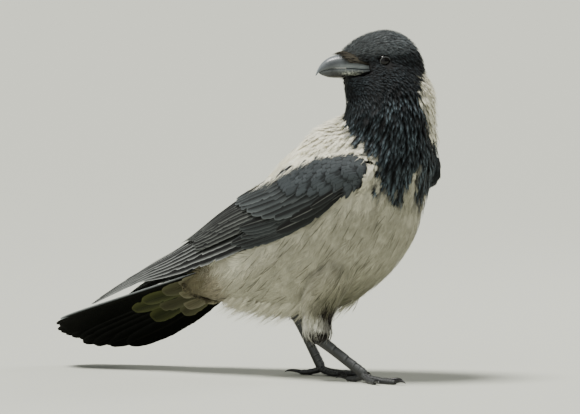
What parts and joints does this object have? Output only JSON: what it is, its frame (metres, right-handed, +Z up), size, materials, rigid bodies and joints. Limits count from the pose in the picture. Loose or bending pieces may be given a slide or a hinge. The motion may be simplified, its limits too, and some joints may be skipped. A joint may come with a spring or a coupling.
{
  "type": "hooded crow",
  "caption": "A life-size hooded crow standing on both feet, with its head turned back over its right shoulder and its wings folded",
  "frame": {"origin": "on the floor, under the middle of the bounding box", "axes": "+X is the way the crow's body heads, +Y is to the crow's left, +Z is up"},
  "size_m": [0.3908, 0.1316, 0.3149],
  "materials": {
    "black_plumage": "matt",
    "grey_plumage": "matt",
    "wing_coverts": "satin",
    "flight_feathers": "satin",
    "bill_horn": "gloss",
    "eye_glass": "gloss",
    "leg_scales": "satin",
    "claw_horn": "gloss"
  },
  "bodies": {
    "root": {"head": "black_plumage", "neck": "black_plumage", "trunk": "grey_plumage", "thigh_left": "grey_plumage", "thigh_right": "grey_plumage", "undertail_coverts": "grey_plumage", "tail": "flight_feathers", "bill_upper": "bill_horn", "bill_lower": "bill_horn", "eye_left": "eye_glass", "eye_right": "eye_glass", "wing_left_arm": "wing_coverts", "wing_left_alula": "flight_feathers", "wing_left_greater_coverts": "wing_coverts", "wing_left_primary_coverts": "flight_feathers", "wing_left_secondaries": "flight_feathers", "wing_left_primaries": "flight_feathers", "wing_right_arm": "wing_coverts", "wing_right_alula": "flight_feathers", "wing_right_greater_coverts": "wing_coverts", "wing_right_primary_coverts": "flight_feathers", "wing_right_secondaries": "flight_feathers", "wing_right_primaries": "flight_feathers", "tarsus_left": "leg_scales", "tarsus_right": "leg_scales", "foot_left": "leg_scales", "foot_right": "leg_scales", "claw_left_inner": "claw_horn", "claw_left_middle": "claw_horn", "claw_left_outer": "claw_horn", "claw_left_hind": "claw_horn", "claw_right_inner": "claw_horn", "claw_right_middle": "claw_horn", "claw_right_outer": "claw_horn", "claw_right_hind": "claw_horn"}
  },
  "joints": []
}
